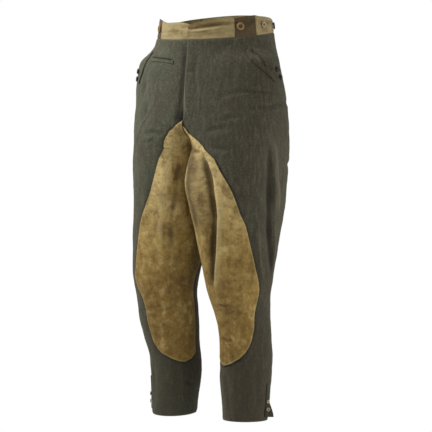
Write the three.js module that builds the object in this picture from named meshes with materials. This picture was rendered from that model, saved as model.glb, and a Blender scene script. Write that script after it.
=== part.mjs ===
// Riding breeches with leather strapping, worn and hollow, in millimetres.
// +Z is up, the front faces -Y and the wearer's left is +X.
// The origin is the middle of the waist opening, just above the waist seam.
import * as THREE from "three";

// Walls, and the clearances that keep the sewn pieces apart.
const WOOL_WALL = 1.8;
const HIDE_WALL = 1.6;
const BAND_WALL = 2.6;
const WELT_WALL = 1.5;
const SEAM_GAP = 0.3;
const LIE_GAP = 0.35;

// Heights that the cut hangs on.
const WAIST_SEAM = -13;
const FLY_BOTTOM = -226;
const CROTCH = -283;
const CROTCH_BEND = 1.3;
const HEM = -922;

// How far the cloth of a leg is turned round it, in degrees, towards the wearer's left.
const LEG_TURN = 13;

// The waist seam drops to the front: height gained for each millimetre towards the back.
const SEAM_SLOPE = 0.13;
const SEAM_SLOPE_ENDS = -115;
const HEM_SLOPE = { right: 0.08, left: 0 };
const HEM_DROP = { right: 0, left: 5 };

// Legs of a worn pair are never quite alike: extra cloth round each one at the knee.
const KNEE_EASE = { right: 5, left: -5 };
const KNEE_EASE_AT = -700;
const KNEE_EASE_REACH = 90;

// Between the thighs the left leg pushes the soft cloth of both towards the right.
const PUSH = 14;
const PUSH_AT = -365;
const PUSH_REACH = 110;

// The left front laps over the right one at the fly.
const FLY_LAP = 6;
const LAP_ENDS = -220;
const LAP_RISE = 18;
const FLY_FACE = 30;

const SIDES = { right: -1, left: 1 };
const FRONT = { from: 0, to: 1, columns: 14 };
const BACK = { from: 1, to: 2, columns: 9 };

function table(columns, rows) {
  return rows.map((row) => Object.fromEntries(columns.map((name, i) => [name, row[i]])));
}

// Sections of one half. middle and axis: x and y of its centre. out: reach to the side.
// gap: half the space between the legs. The last four say how square each quarter is.
const SECTIONS = table(
  ["z", "middle", "out", "gap", "axis", "front", "back", "outFront", "outBack", "inFront", "inBack"],
  [
    [-13, 0, 147, 0, 0, -122, 108, 2, 2, 4, 2.2],
    [-40, 0, 155, 0, -4, -123, 106, 2, 2, 4, 2.2],
    [-57, 0, 170, 0, -21, -124, 103, 2, 1.8, 4, 2.2],
    [-71, 0, 184, 0, -34, -126, 101, 2, 1.65, 4, 2.2],
    [-100, 0, 189, 0, -36, -131, 100, 2, 1.7, 4, 2.2],
    [-140, 4, 194, 0, -32, -137, 98, 2, 1.85, 4, 2.2],
    [-180, 22, 197, 0, -27, -142, 98, 2, 2, 4, 2.2],
    [-226, 55, 198, 0, -22, -149, 101, 2, 2, 3, 2.2],
    [-283, 88, 193, 2.3, -20, -151, 104, 2, 2, 3.2, 2.3],
    [-330, 92, 191, 2.6, -22, -152, 98, 2, 2, 4.6, 2.3],
    [-365, 93, 190, 2.8, -26, -152, 95, 2, 2, 5.5, 2.3],
    [-400, 94, 189, 3.2, -30, -151, 92, 2, 2, 5, 2.3],
    [-456, 95.5, 188, 5, -45, -147, 76, 2, 2, 4.5, 2.2],
    [-514, 98, 187, 9, -57, -145, 46, 2, 2, 3, 2.1],
    [-571, 100, 184, 16, -63, -143, 22, 2, 2, 2.2, 2],
    [-600, 101, 181, 21, -64, -142, 12, 2, 2, 2, 2],
    [-629, 100.5, 175, 26, -61, -134, 9, 2, 2, 2, 2],
    [-658, 102, 173, 31, -54, -123, 15, 2, 2, 2, 2],
    [-701, 104, 172, 36, -43, -110, 25, 2, 2, 2, 2],
    [-744, 102.5, 167, 38, -34, -98, 31, 2, 2, 2, 2],
    [-787, 98.5, 162, 35, -25, -88, 38, 2, 2, 2, 2],
    [-830, 95.5, 158, 33, -24, -86, 37, 2, 2, 2, 2],
    [-874, 97, 155, 39, -27, -84, 31, 2, 2, 2, 2],
    [-922, 97.5, 152.5, 43, -30, -84.5, 24.5, 2, 2, 2, 2],
  ],
);

// Rows of the cloth: how many steps each stretch of height is cut into.
const STRETCHES = table(
  ["top", "bottom", "steps"],
  [
    [WAIST_SEAM, -55, 2],
    [-55, -115, 4],
    [-115, FLY_BOTTOM, 4],
    [FLY_BOTTOM, -256, 2],
    [-256, -274, 2],
    [-274, CROTCH, 3],
    [CROTCH, -640, 14],
    [-640, -730, 3],
    [-730, -802, 5],
    [-802, HEM, 4],
  ],
);

// The largest folds. share: 0 at the centre front or inseam, 0.5 on the front crease line,
// 1 at the side seam, 1.5 on the back crease line, 2 at the back inseam or centre back.
// depth: how far the cloth sinks, or stands proud if negative. width: half its breadth.
const FOLDS = table(
  ["side", "z1", "share1", "z2", "share2", "depth", "width"],
  [
    ["left", -255, 0.3, -390, 0.43, 8, 14],
    ["left", -330, 0.43, -625, 0.28, 13, 15],
    ["left", -345, 0.3, -560, 0.22, -4, 16],
    ["left", -295, 0.81, -570, 0.94, 8, 15],
    ["left", -225, 0.8, -440, 0.98, -4, 14],
    ["right", -290, 0.27, -540, 0.3, 5, 16],
    ["right", -110, 0.8, -270, 0.66, 3, 14],
    ["right", -330, 0.86, -560, 0.93, 6, 15],
    ["left", -612, 1.25, -634, 1.9, 6, 16],
    ["right", -610, 1.25, -632, 1.9, 6, 16],
    ["left", -350, 1.35, -335, 1.92, 6, 18],
    ["right", -356, 1.4, -338, 1.94, 6, 18],
    ["left", -300, 1.62, -480, 1.72, 5, 17],
    ["right", -310, 1.6, -490, 1.7, 5, 17],
  ],
);
const FOLD_BREADTH = 260;

// Edges of the leather, as shares of the way round: ahead from the centre or inseam (inner
// to outer edge), and behind from the centre or inseam (back).
const HIDE_EDGES = table(
  ["z", "rightOuter", "leftOuter", "inner", "back"],
  [
    [-222, -0.1, -0.1, -0.1, -0.1],
    [-227, 0.16, 0.03, -0.1, 0.06],
    [-241, 0.25, 0.1, -0.1, 0.12],
    [-256, 0.33, 0.26, -0.1, 0.2],
    [-274, 0.38, 0.38, -0.1, 0.3],
    [-306, 0.43, 0.48, -0.1, 0.45],
    [-340, 0.47, 0.51, -0.1, 0.56],
    [-370, 0.51, 0.54, -0.1, 0.62],
    [-430, 0.62, 0.58, -0.1, 0.6],
    [-460, 0.67, 0.63, -0.1, 0.5],
    [-505, 0.7, 0.68, -0.06, 0.3],
    [-560, 0.74, 0.74, 0.04, 0],
    [-592, 0.77, 0.78, 0.09, -0.1],
    [-614, 0.74, 0.8, 0.1, -0.1],
    [-636, 0.69, 0.79, 0.09, -0.1],
    [-648, 0.67, 0.74, 0.08, -0.1],
    [-680, 0.65, 0.72, 0.08, -0.1],
    [-709, 0.64, 0.7, 0.09, -0.1],
    [-745, 0.63, 0.63, 0.1, -0.1],
    [-773, 0.56, 0.51, 0.12, -0.1],
    [-788, 0.43, 0.38, 0.2, -0.1],
    [-802, 0.24, 0.14, 0.38, -0.1],
  ],
);

// Height of the waistband round each half, by its share of the way from front to back.
const BAND_HEIGHTS = table(
  ["z", "right", "left"],
  [
    [0, 35, 34],
    [-0.12, 41, 41],
    [-0.5, 39, 38],
    [-0.56, 44, 45],
    [-0.78, 45, 47],
    [-0.9, 40, 40],
    [-1.02, 32, 30],
    [-1.15, 29, 27],
    [-1.4, 33, 33],
    [-2, 37, 37],
  ],
);
const BAND_TAPER = 0.03;
const BAND_JOINS = [0, 0.545, 0.79, 2];
const BAND_CELLS = [8, 4, 15];
const BAND_ROWS = 3;

// What is sewn on. A strip runs from one place of the cloth to another, lying on it.
const STRIPS = table(
  ["name", "z1", "share1", "z2", "share2", "breadth", "cells", "lift", "flare"],
  [
    ["slit_pocket_welt", -68, 0.68, -76.5, 0.31, 9, 12, 0.4, { right: 0 }],
    ["side_pocket_welt", -46, 0.7, -128, 0.9, 9, 18, 0.8, { right: 0, left: 0 }],
    ["calf_placket", -834, 0.93, -912, 0.93, 17, 9, 0.2, { right: 2, left: 17 }],
  ],
);

// Buttons. where: on the waistband (height above its seam) or on the cloth (z).
const BUTTONS = table(
  ["name", "where", "height", "share", "radius", "thick", "lift", "colour"],
  [
    ["band_button_front", "band", 24, 0.607, 9.5, 3.2, 0.4, "bone"],
    ["band_button_middle", "band", 22, 0.9, 7.5, 2.6, 0.4, "bone"],
    ["band_button_back", "band", 15, 1.15, 8.5, 3.2, 0.4, "horn"],
    ["pocket_button_upper", "cloth", -99, 0.93, 6.5, 2.8, 0.5, "horn"],
    ["pocket_button_lower", "cloth", -118, 0.955, 6.5, 2.8, 0.75, "horn"],
    ["calf_button_upper", "placket", -877, 0.93, 4.5, 2.2, 2.3, "bone"],
    ["calf_button_lower", "placket", -894.5, 0.93, 4.5, 2.2, 2.3, "bone"],
  ],
);
const BUTTON_SIDES = 12;

const COLOURS = {
  wool: 0x55513f,
  hide: 0xa58f55,
  cotton: 0xa8986b,
  brown: 0x5c4c34,
  horn: 0x2b241c,
  bone: 0xb9ac8c,
  steel: 0x3c3a36,
};

const smooth = (t) => THREE.MathUtils.smoothstep(t, 0, 1);

// Reads a column of a table at height z, with a smooth curve through its rows.
function read(rows, column, z) {
  const last = rows.length - 1;
  if (z >= rows[0].z) return rows[0][column];
  if (z <= rows[last].z) return rows[last][column];
  const i = rows.findIndex((row, k) => k < last && z <= row.z && z > rows[k + 1].z);
  const slope = (k) => {
    if (k < 0 || k >= last) return 0;
    return (rows[k + 1][column] - rows[k][column]) / (rows[k + 1].z - rows[k].z);
  };
  const tangent = (k) => {
    const before = slope(k - 1);
    const after = slope(k);
    if (before * after <= 0) return 0;
    return (2 * before * after) / (before + after);
  };
  const span = rows[i + 1].z - rows[i].z;
  const t = (z - rows[i].z) / span;
  const h = t * t * (3 - 2 * t);
  return (
    rows[i][column] * (1 - h) +
    rows[i + 1][column] * h +
    span * t * (1 - t) * (tangent(i) * (1 - t) - tangent(i + 1) * t)
  );
}

// How far the ends of a section are from its axis where the crotch seam curves under.
function crotchReach(z, full) {
  if (z >= FLY_BOTTOM) return full;
  const t = (FLY_BOTTOM - z) / (FLY_BOTTOM - CROTCH);
  const bend = Math.pow(Math.max(1 - Math.pow(t, CROTCH_BEND), 0), 1 / CROTCH_BEND);
  return Math.max(full * bend, SEAM_GAP / 2);
}

// How far the wool keeps from the centre: below the fly the leather lies in between.
function centreRoom(z) {
  return SEAM_GAP / 2 + (LIE_GAP + HIDE_WALL + SEAM_GAP / 2) * smooth((FLY_BOTTOM + 8 - z) / 14);
}

function sectionAt(z) {
  const s = {};
  for (const column of Object.keys(SECTIONS[0])) s[column] = read(SECTIONS, column, z);
  s.closed = z <= CROTCH;
  return s;
}

// Breadth of a section inwards, so that it meets the centre plane on the crotch seam.
function inwards(s, z, full, power) {
  if (s.closed) return s.middle - s.gap;
  const whole = s.middle - centreRoom(z);
  if (whole < 1) return 1e4;
  const reach = Math.min(crotchReach(z, full * 0.985) / full, 0.985);
  return whole / Math.pow(1 - Math.pow(reach, power), 1 / power);
}

// A point of the section's outline at an angle: 0 is to the side, -90 the front, 90 the back.
function outline(s, z, degrees) {
  const angle = THREE.MathUtils.degToRad(degrees);
  const c = Math.cos(angle);
  const v = Math.sin(angle);
  const ahead = v < 0;
  const depth = ahead ? s.axis - s.front : s.back - s.axis;
  const outside = c >= 0;
  const power = outside ? (ahead ? s.outFront : s.outBack) : ahead ? s.inFront : s.inBack;
  const breadth = outside ? s.out - s.middle : inwards(s, z, depth, power);
  const r = Math.pow(Math.pow(Math.abs(c) / breadth, power) + Math.pow(Math.abs(v) / depth, power), -1 / power);
  return new THREE.Vector2(s.middle + r * c, s.axis + r * v);
}

// The angle at which an open section meets the centre plane, ahead (-1) or behind (1).
function centreAngle(s, z, way) {
  let near = 90;
  let far = 180;
  for (let i = 0; i < 30; i++) {
    const half = (near + far) / 2;
    if (outline(s, z, way * half).x > centreRoom(z)) near = half;
    else far = half;
  }
  return way * near;
}

// Cloth turns round the leg little by little below the hip.
function turnAt(side, z, from, to) {
  return SIDES[side] * LEG_TURN * smooth((from - z) / (from - to));
}

const LINES = new Map();
const LINE_STEPS = 60;

// The outline of a panel at one height, as points with the length run so far.
function lineAt(side, z, part) {
  const key = side + z.toFixed(4) + part.from;
  if (LINES.has(key)) return LINES.get(key);
  const s = sectionAt(z);
  const seam = turnAt(side, z, -20, -150) * 0.8;
  const turn = turnAt(side, z, CROTCH, -450);
  const way = part === FRONT ? -1 : 1;
  const end = s.closed ? way * 180 + turn : centreAngle(s, z, way);
  const crease = way * (45 + 45 * smooth((WAIST_SEAM - z) / (WAIST_SEAM + 300))) + turn;
  const stops = part === FRONT ? [end, crease, seam] : [seam, crease, end];
  const ease = KNEE_EASE[side] * smooth(1 - Math.abs(z - KNEE_EASE_AT) / KNEE_EASE_REACH);
  const middle = new THREE.Vector2(s.middle, s.axis);
  const points = [];
  let length = 0;
  for (let i = 0; i <= 2 * LINE_STEPS; i++) {
    const half = i < LINE_STEPS ? 0 : 1;
    const share = i / LINE_STEPS - half;
    const p = outline(s, z, stops[half] + (stops[half + 1] - stops[half]) * share);
    p.add(p.clone().sub(middle).setLength(ease));
    if (i > 0) length += p.distanceTo(points[i - 1].p);
    points.push({ p, length });
  }
  LINES.set(key, points);
  return points;
}

// Length run along a panel's line for a share of it: its crease is at half.
function runAt(line, share) {
  const crease = line[LINE_STEPS].length;
  const whole = line[2 * LINE_STEPS].length;
  return share < 0.5 ? crease * share * 2 : crease + (whole - crease) * (share * 2 - 1);
}

function alongLine(points, length) {
  let i = 1;
  while (i < points.length - 1 && points[i].length < length) i++;
  const a = points[i - 1];
  const b = points[i];
  return a.p.clone().lerp(b.p, (length - a.length) / (b.length - a.length));
}

// Sink of the cloth by the folds that cross a place.
function sink(side, z, share) {
  let total = 0;
  for (const fold of FOLDS) {
    if (fold.side !== side) continue;
    const run = new THREE.Vector2(fold.z2 - fold.z1, (fold.share2 - fold.share1) * FOLD_BREADTH);
    const here = new THREE.Vector2(z - fold.z1, (share - fold.share1) * FOLD_BREADTH);
    const along = here.dot(run) / run.lengthSq();
    const off = Math.abs(here.cross(run)) / run.length();
    if (along <= 0 || along >= 1 || off >= 2 * fold.width) continue;
    const ends = smooth(along / 0.3) * smooth((1 - along) / 0.3);
    total += fold.depth * ends * Math.exp(-Math.pow(off / fold.width, 2) * 2);
  }
  return total;
}

// A point of the outer face, for a height and a share of the way round one half.
function surface(side, height, share) {
  const part = share <= 1 ? FRONT : BACK;
  const z = Math.min(Math.max(height, HEM), WAIST_SEAM);
  const line = lineAt(side, z, part);
  const run = runAt(line, share - part.from);
  const p = alongLine(line, run);
  const a = alongLine(line, Math.max(run - 4, 0));
  const b = alongLine(line, Math.min(run + 4, line[2 * LINE_STEPS].length));
  const d = b.sub(a).normalize();
  const depth = sink(side, z, share);
  const point = new THREE.Vector3(p.x - d.y * depth, p.y + d.x * depth, height);
  const rise = SEAM_SLOPE * point.y * smooth((height - SEAM_SLOPE_ENDS) / (WAIST_SEAM - SEAM_SLOPE_ENDS));
  const tilt = HEM_SLOPE[side] * (point.y + 30) * smooth((-760 - height) / (-760 - HEM));
  point.z += rise + tilt - HEM_DROP[side] * smooth((-600 - height) / (-600 - HEM));
  point.x = Math.max(point.x, centreRoom(z));
  point.x += push(side, point);
  return lapFly(point, side, height, share);
}

// How far a place is pushed to the right of the wearer, as the mirrored half sees it.
function push(side, point) {
  const level = smooth(1 - Math.abs(point.z - PUSH_AT) / PUSH_REACH);
  const ahead = smooth((-40 - point.y) / 70);
  return -SIDES[side] * PUSH * level * ahead * Math.exp(-point.x / 70);
}

// The left front stands over the right one along the fly and ends past the centre.
function lapFly(point, side, height, share) {
  if (side === "right" || share > 0.5 || height < LAP_ENDS) return point;
  const hold = smooth((height - LAP_ENDS) / LAP_RISE);
  const lapped = smooth((height - LAP_ENDS - LAP_RISE) / LAP_RISE);
  const near = 1 - smooth((point.x - 6) / (FLY_FACE - 6));
  point.y -= (BAND_WALL + 2 * SEAM_GAP) * near * hold;
  point.x -= FLY_LAP * Math.max(1 - point.x / FLY_FACE, 0) * lapped;
  return point;
}

// Outward normal of the outer face, never leaning over the centre plane.
function normalAt(side, height, share, part) {
  const step = 0.012;
  const s1 = Math.max(share - step, part.from);
  const s2 = Math.min(share + step, part.to);
  const z1 = Math.min(height + 3, WAIST_SEAM);
  const z2 = Math.max(height - 3, HEM);
  const across = surface(side, height, s2).sub(surface(side, height, s1));
  const down = surface(side, z2, share).sub(surface(side, z1, share));
  const normal = down.cross(across).normalize();
  const atCentre = (share < 0.001 || share > 1.999) && height > CROTCH - 1;
  if (atCentre) normal.x = Math.min(normal.x, 0);
  return normal.normalize();
}

// A sheet holds points of the outer face with their normals, and triangles that face outwards.
function cellSheet(rows, columns, place) {
  const sheet = { points: [], triangles: [] };
  for (let r = 0; r <= rows; r++) {
    for (let c = 0; c <= columns; c++) sheet.points.push(place(r, c));
  }
  for (let r = 0; r < rows; r++) {
    for (let c = 0; c < columns; c++) {
      const a = r * (columns + 1) + c;
      const b = a + columns + 1;
      sheet.triangles.push([a, b, a + 1], [b, b + 1, a + 1]);
    }
  }
  return sheet;
}

// Turns a sheet into a closed wall between two distances from it, mirrored for the right side.
function wall(sheet, side, outer, inner) {
  const count = sheet.points.length;
  const mirror = SIDES[side];
  const positions = [];
  for (const off of [outer, inner]) {
    for (const point of sheet.points) {
      const p = point.position.clone().addScaledVector(point.normal, off);
      positions.push(mirror * p.x, p.y, p.z);
    }
  }
  const edges = new Set(sheet.triangles.flatMap(([a, b, c]) => [`${a} ${b}`, `${b} ${c}`, `${c} ${a}`]));
  const faces = [];
  for (const [a, b, c] of sheet.triangles) {
    faces.push([a, b, c], [c + count, b + count, a + count]);
  }
  for (const edge of edges) {
    const [a, b] = edge.split(" ").map(Number);
    if (!edges.has(`${b} ${a}`)) faces.push([b, a, a + count], [b, a + count, b + count]);
  }
  if (mirror < 0) faces.forEach((face) => face.reverse());
  const geometry = new THREE.BufferGeometry();
  geometry.setAttribute("position", new THREE.Float32BufferAttribute(positions, 3));
  geometry.setIndex(faces.flat());
  geometry.computeVertexNormals();
  return geometry;
}

// Keeps the part of a sheet where inside(point) is over 0, cutting the triangles it crosses.
function cut(sheet, inside) {
  const made = { points: [], triangles: [] };
  const kept = new Map();
  const values = sheet.points.map((point) => {
    const value = inside(point);
    return Math.abs(value) < 1 ? 1 : value;
  });
  const keep = (key, point) => {
    if (!kept.has(key)) kept.set(key, made.points.push(point()) - 1);
    return kept.get(key);
  };
  const crossing = (i, j) => {
    const [a, b] = i < j ? [i, j] : [j, i];
    return keep(`${a} ${b}`, () => {
      const t = values[a] / (values[a] - values[b]);
      const from = sheet.points[a];
      const to = sheet.points[b];
      return {
        position: from.position.clone().lerp(to.position, t),
        normal: from.normal.clone().lerp(to.normal, t),
      };
    });
  };
  for (const triangle of sheet.triangles) {
    const ring = [];
    triangle.forEach((i, k) => {
      const j = triangle[(k + 1) % 3];
      if (values[i] > 0) ring.push(keep(`${i}`, () => sheet.points[i]));
      if (values[i] > 0 !== values[j] > 0) ring.push(crossing(i, j));
    });
    for (let k = 2; k < ring.length; k++) made.triangles.push([ring[0], ring[k - 1], ring[k]]);
  }
  return made;
}

const HEIGHTS = [WAIST_SEAM];
for (const stretch of STRETCHES) {
  for (let i = 1; i <= stretch.steps; i++) {
    HEIGHTS.push(stretch.top + ((stretch.bottom - stretch.top) * i) / stretch.steps);
  }
}

// One cloth panel as a sheet, half a seam gap short of the side seam and the inseam.
function panelSheet(side, part) {
  return cellSheet(HEIGHTS.length - 1, part.columns, (r, c) => {
    const height = HEIGHTS[r];
    const line = lineAt(side, height, part);
    const trim = SEAM_GAP / 2 / line[LINE_STEPS].length;
    const onCentre = height > CROTCH;
    const first = part === FRONT && onCentre ? 0 : trim;
    const last = part === BACK && onCentre ? 0 : trim;
    const share = part.from + first + ((1 - first - last) * c) / part.columns;
    return {
      position: surface(side, height, share),
      normal: normalAt(side, height, share, part),
      height,
      share,
    };
  });
}

const FRONT_SHEETS = { right: panelSheet("right", FRONT), left: panelSheet("left", FRONT) };

// A place on the flat cells of a front panel, so that what is sewn there lies on them.
function onFront(side, height, share) {
  const points = FRONT_SHEETS[side].points;
  const r = HEIGHTS.findIndex((z) => z <= height) - 1;
  const c = Math.min(Math.floor(share * FRONT.columns), FRONT.columns - 1);
  const down = (HEIGHTS[r] - height) / (HEIGHTS[r] - HEIGHTS[r + 1]);
  const along = share * FRONT.columns - c;
  const upper = down + along < 1;
  const corner = r * (FRONT.columns + 1) + c + (upper ? 0 : FRONT.columns + 2);
  const u = points[corner + (upper ? 1 : -1)];
  const v = points[corner + (upper ? 1 : -1) * (FRONT.columns + 1)];
  const du = upper ? along : 1 - along;
  const dv = upper ? down : 1 - down;
  const mix = (key) => {
    const sum = points[corner][key].clone().multiplyScalar(1 - du - dv);
    return sum.addScaledVector(u[key], du).addScaledVector(v[key], dv);
  };
  return { position: mix("position"), normal: mix("normal").normalize() };
}

const group = new THREE.Group();

function add(name, geometry, colour, roughness = 0.9, metalness = 0) {
  const material = new THREE.MeshStandardMaterial({ color: colour, roughness, metalness });
  const mesh = new THREE.Mesh(geometry, material);
  mesh.name = name;
  group.add(mesh);
  return mesh;
}

function addPanels(side) {
  const front = FRONT_SHEETS[side];
  const back = panelSheet(side, BACK);
  add(`front_${side}`, wall(front, side, 0, -WOOL_WALL), COLOURS.wool);
  add(`back_${side}`, wall(back, side, 0, -WOOL_WALL), COLOURS.wool);
  const ahead = (point) => {
    const outer = read(HIDE_EDGES, `${side}Outer`, point.height) - point.share;
    const inner = point.share - read(HIDE_EDGES, "inner", point.height);
    return FOLD_BREADTH * Math.min(outer, inner);
  };
  const behind = (point) => {
    return FOLD_BREADTH * (read(HIDE_EDGES, "back", point.height) - (2 - point.share));
  };
  const outer = LIE_GAP + HIDE_WALL;
  add(`strapping_front_${side}`, wall(cut(front, ahead), side, outer, LIE_GAP), COLOURS.hide, 0.75);
  add(`strapping_back_${side}`, wall(cut(back, behind), side, outer, LIE_GAP), COLOURS.hide, 0.75);
}

// Normal of a face given as at(u, v), where u runs from front to back and v runs up.
function faceNormal(at, u, v, du, dv, last) {
  const across = at(Math.min(u + du, last), v).sub(at(Math.max(u - du, last - 2), v));
  const up = at(u, v + dv).sub(at(u, v - dv));
  return across.cross(up).normalize();
}

// A place of the waistband's outer face, by its share of the way round and height above the seam.
function bandPlace(side, share, up) {
  const at = (s, rise) => {
    const seam = surface(side, WAIST_SEAM, s);
    const taper = 1 - (BAND_TAPER * rise) / BAND_HEIGHTS[0].left;
    return new THREE.Vector3(seam.x < 1 ? seam.x : seam.x * taper, seam.y * taper, seam.z + SEAM_GAP + rise);
  };
  const normal = faceNormal(at, share, up, 0.012, 4, 2);
  if (share < 0.001 || share > 1.999) normal.x = Math.min(normal.x, 0);
  return { position: at(share, up), normal: normal.normalize() };
}

function addBand(side) {
  ["front", "side", "back"].forEach((part, i) => {
    const from = BAND_JOINS[i] + (i > 0 ? 0.0012 : 0);
    const to = BAND_JOINS[i + 1] - (i < 2 ? 0.0012 : 0);
    const cells = BAND_CELLS[i];
    const sheet = cellSheet(BAND_ROWS, cells, (r, c) => {
      const share = from + ((to - from) * c) / cells;
      const top = read(BAND_HEIGHTS, side, -share);
      return bandPlace(side, share, top * (1 - r / BAND_ROWS));
    });
    const colour = part === "side" ? COLOURS.brown : COLOURS.cotton;
    add(`band_${part}_${side}`, wall(sheet, side, 0, -BAND_WALL), colour);
  });
}

// A narrow strip of cloth lying on a panel, its lower end standing off by its flare.
function stripPlace(strip, side, t, across) {
  const height = strip.z1 + (strip.z2 - strip.z1) * t;
  const share = strip.share1 + (strip.share2 - strip.share1) * t;
  const run = new THREE.Vector2(strip.z2 - strip.z1, (strip.share2 - strip.share1) * FOLD_BREADTH);
  run.setLength(across * strip.breadth);
  const h = Math.max(height + run.y, HEM + 1);
  const s = Math.min(share - run.x / FOLD_BREADTH, 0.995);
  const place = onFront(side, h, s);
  const off = strip.lift + strip.flare[side] * smooth(t * 1.6 - 0.6) * smooth(across + 0.5);
  place.position.addScaledVector(place.normal, off);
  return place;
}

// Where a button sits on a strip: across its middle, at a height.
function stripSeat(strip, side, height) {
  const t = (height - strip.z1) / (strip.z2 - strip.z1);
  const at = (across, up) => stripPlace(strip, side, -up, across).position;
  const normal = faceNormal(at, 0, -t, 0.3, 0.08, 1);
  return { position: at(0, -t), normal };
}

function addStrip(strip, side) {
  const sheet = cellSheet(strip.cells, 2, (r, c) => stripPlace(strip, side, r / strip.cells, c / 2 - 0.5));
  const geometry = wall(sheet, side, LIE_GAP + WELT_WALL, LIE_GAP);
  add(`${strip.name}_${side}`, geometry, COLOURS.wool);
}

// A button with a raised rim, seated on what it is sewn to.
function addButton(button, side) {
  const { radius, thick } = button;
  const profile = [
    [0, 0],
    [radius * 0.92, 0],
    [radius, thick * 0.5],
    [radius * 0.88, thick],
    [radius * 0.5, thick * 0.6],
    [0, thick * 0.6],
  ];
  const geometry = new THREE.LatheGeometry(profile.map(([x, y]) => new THREE.Vector2(x, y)), BUTTON_SIDES);
  const { height, share, lift } = button;
  const seats = {
    band: () => bandPlace(side, share, height),
    cloth: () => onFront(side, height, share),
    placket: () => stripSeat(STRIPS.find((strip) => strip.name === "calf_placket"), side, height),
  };
  const seat = seats[button.where]();
  const mesh = add(`${button.name}_${side}`, geometry, COLOURS[button.colour], 0.5);
  seat.position.addScaledVector(seat.normal, lift);
  seat.position.x *= SIDES[side];
  seat.normal.x *= SIDES[side];
  mesh.position.copy(seat.position);
  mesh.quaternion.setFromUnitVectors(new THREE.Vector3(0, 1, 0), seat.normal);
}

for (const side of Object.keys(SIDES)) {
  addPanels(side);
  addBand(side);
  STRIPS.filter((strip) => side in strip.flare).forEach((strip) => addStrip(strip, side));
  BUTTONS.forEach((button) => addButton(button, side));
}

export default group;
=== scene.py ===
# %% [markdown]
# # Riding breeches
# Wool breeches with leather on the inner legs, shown in the shape that a wearer gives them.
# The frame holds each cut piece as a plain closed wall. This lesson turns each wall into
# cloth: a fine thin shell on the same form, with its folds, pinched seams and wear.

# %% Load the frame
import math

import bmesh
import bpy
import numpy as np
from mathutils import Matrix, Vector, noise
from mathutils.bvhtree import BVHTree
from mathutils.kdtree import KDTree


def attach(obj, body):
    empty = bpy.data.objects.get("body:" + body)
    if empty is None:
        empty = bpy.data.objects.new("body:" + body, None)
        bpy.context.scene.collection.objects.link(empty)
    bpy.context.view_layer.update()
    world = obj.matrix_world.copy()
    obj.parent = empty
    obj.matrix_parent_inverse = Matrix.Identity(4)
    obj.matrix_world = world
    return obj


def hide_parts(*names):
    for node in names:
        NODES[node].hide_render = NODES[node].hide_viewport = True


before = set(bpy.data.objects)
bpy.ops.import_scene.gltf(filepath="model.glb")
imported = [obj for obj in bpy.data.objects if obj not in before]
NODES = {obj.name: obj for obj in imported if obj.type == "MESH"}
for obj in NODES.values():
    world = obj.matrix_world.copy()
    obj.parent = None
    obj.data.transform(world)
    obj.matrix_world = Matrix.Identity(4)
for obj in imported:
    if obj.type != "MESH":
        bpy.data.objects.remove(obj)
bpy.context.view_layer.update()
MM = 0.001
SIDES = {"right": -1, "left": 1}
print(len(NODES), "pieces in the frame")

# %% [markdown]
# The camera stands five metres off, a little above the middle of the breeches, and thirty
# degrees round to the wearer's left. A long lens from far away keeps the legs' widths true.

# %% Camera
CAMERA_DISTANCE = 5.0
CAMERA_AZIMUTH = math.radians(30)
CAMERA_HEIGHT = -0.25
AIM_HEIGHT = -0.447
SEEN_WIDTH = 1.0368
SENSOR = 36.0

bpy.ops.object.camera_add(
    location=(
        CAMERA_DISTANCE * math.sin(CAMERA_AZIMUTH),
        -CAMERA_DISTANCE * math.cos(CAMERA_AZIMUTH),
        CAMERA_HEIGHT,
    )
)
camera = bpy.context.object
aim = Vector((0, 0, AIM_HEIGHT)) - camera.location
camera.rotation_euler = aim.to_track_quat("-Z", "Y").to_euler()
camera.data.sensor_width = SENSOR
camera.data.lens = SENSOR * CAMERA_DISTANCE / SEEN_WIDTH
bpy.context.scene.camera = camera

# %% [markdown]
# The legs are bent tubes, so a place on the cloth is told by two numbers: its height, and
# its angle round the middle of the leg. Zero degrees is the outer side, -90 the front, 90
# the back and 180 the inner side, and the right leg is counted as a mirror of the left.

# %% Places on the cloth
# Middle of each leg: height, distance from the centre plane, and depth, in millimetres.
LEG_MIDDLE = np.array(
    [
        (60, 0, -4),
        (-40, 0, -4),
        (-100, 0, -36),
        (-180, 22, -27),
        (-226, 55, -22),
        (-283, 88, -20),
        (-400, 94, -30),
        (-456, 95, -45),
        (-571, 100, -63),
        (-658, 102, -54),
        (-744, 102, -34),
        (-830, 96, -24),
        (-940, 97, -30),
    ],
    float,
)
# Usual distance of the cloth from the leg's middle, in millimetres.
CLOTH_RADIUS = 95


def leg_middle(height):
    """The leg's middle (x, y) in millimetres at a height, or at an array of heights."""
    down = -LEG_MIDDLE[:, 0]
    x = np.interp(-height, down, LEG_MIDDLE[:, 1])
    y = np.interp(-height, down, LEG_MIDDLE[:, 2])
    return x, y


def cloth_place(points, side, part):
    """Height in mm, angle in degrees and distance from the leg's middle in mm."""
    height = points[:, 2] / MM
    x, y = leg_middle(height)
    across = SIDES[side] * points[:, 0] / MM - x
    deep = points[:, 1] / MM - y
    angle = np.degrees(np.arctan2(deep, across))
    if part == "front":
        angle = np.where(angle > 90, angle - 360, angle)
    if part == "back":
        angle = np.where(angle < -90, angle + 360, angle)
    return height, angle, np.hypot(across, deep)


# %% [markdown]
# Each wall of the frame has an outer face, an inner face and a narrow rim between them. The
# outer face alone is copied, its triangles are paired into quads, and a subdivision surface
# rounds it. Copying keeps the new cloth exactly where the solid is.

# %% Take the outer face of a wall
RIM_ANGLE = math.radians(58)


def activate(piece):
    bpy.ops.object.select_all(action="DESELECT")
    piece.select_set(True)
    bpy.context.view_layer.objects.active = piece


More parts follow.
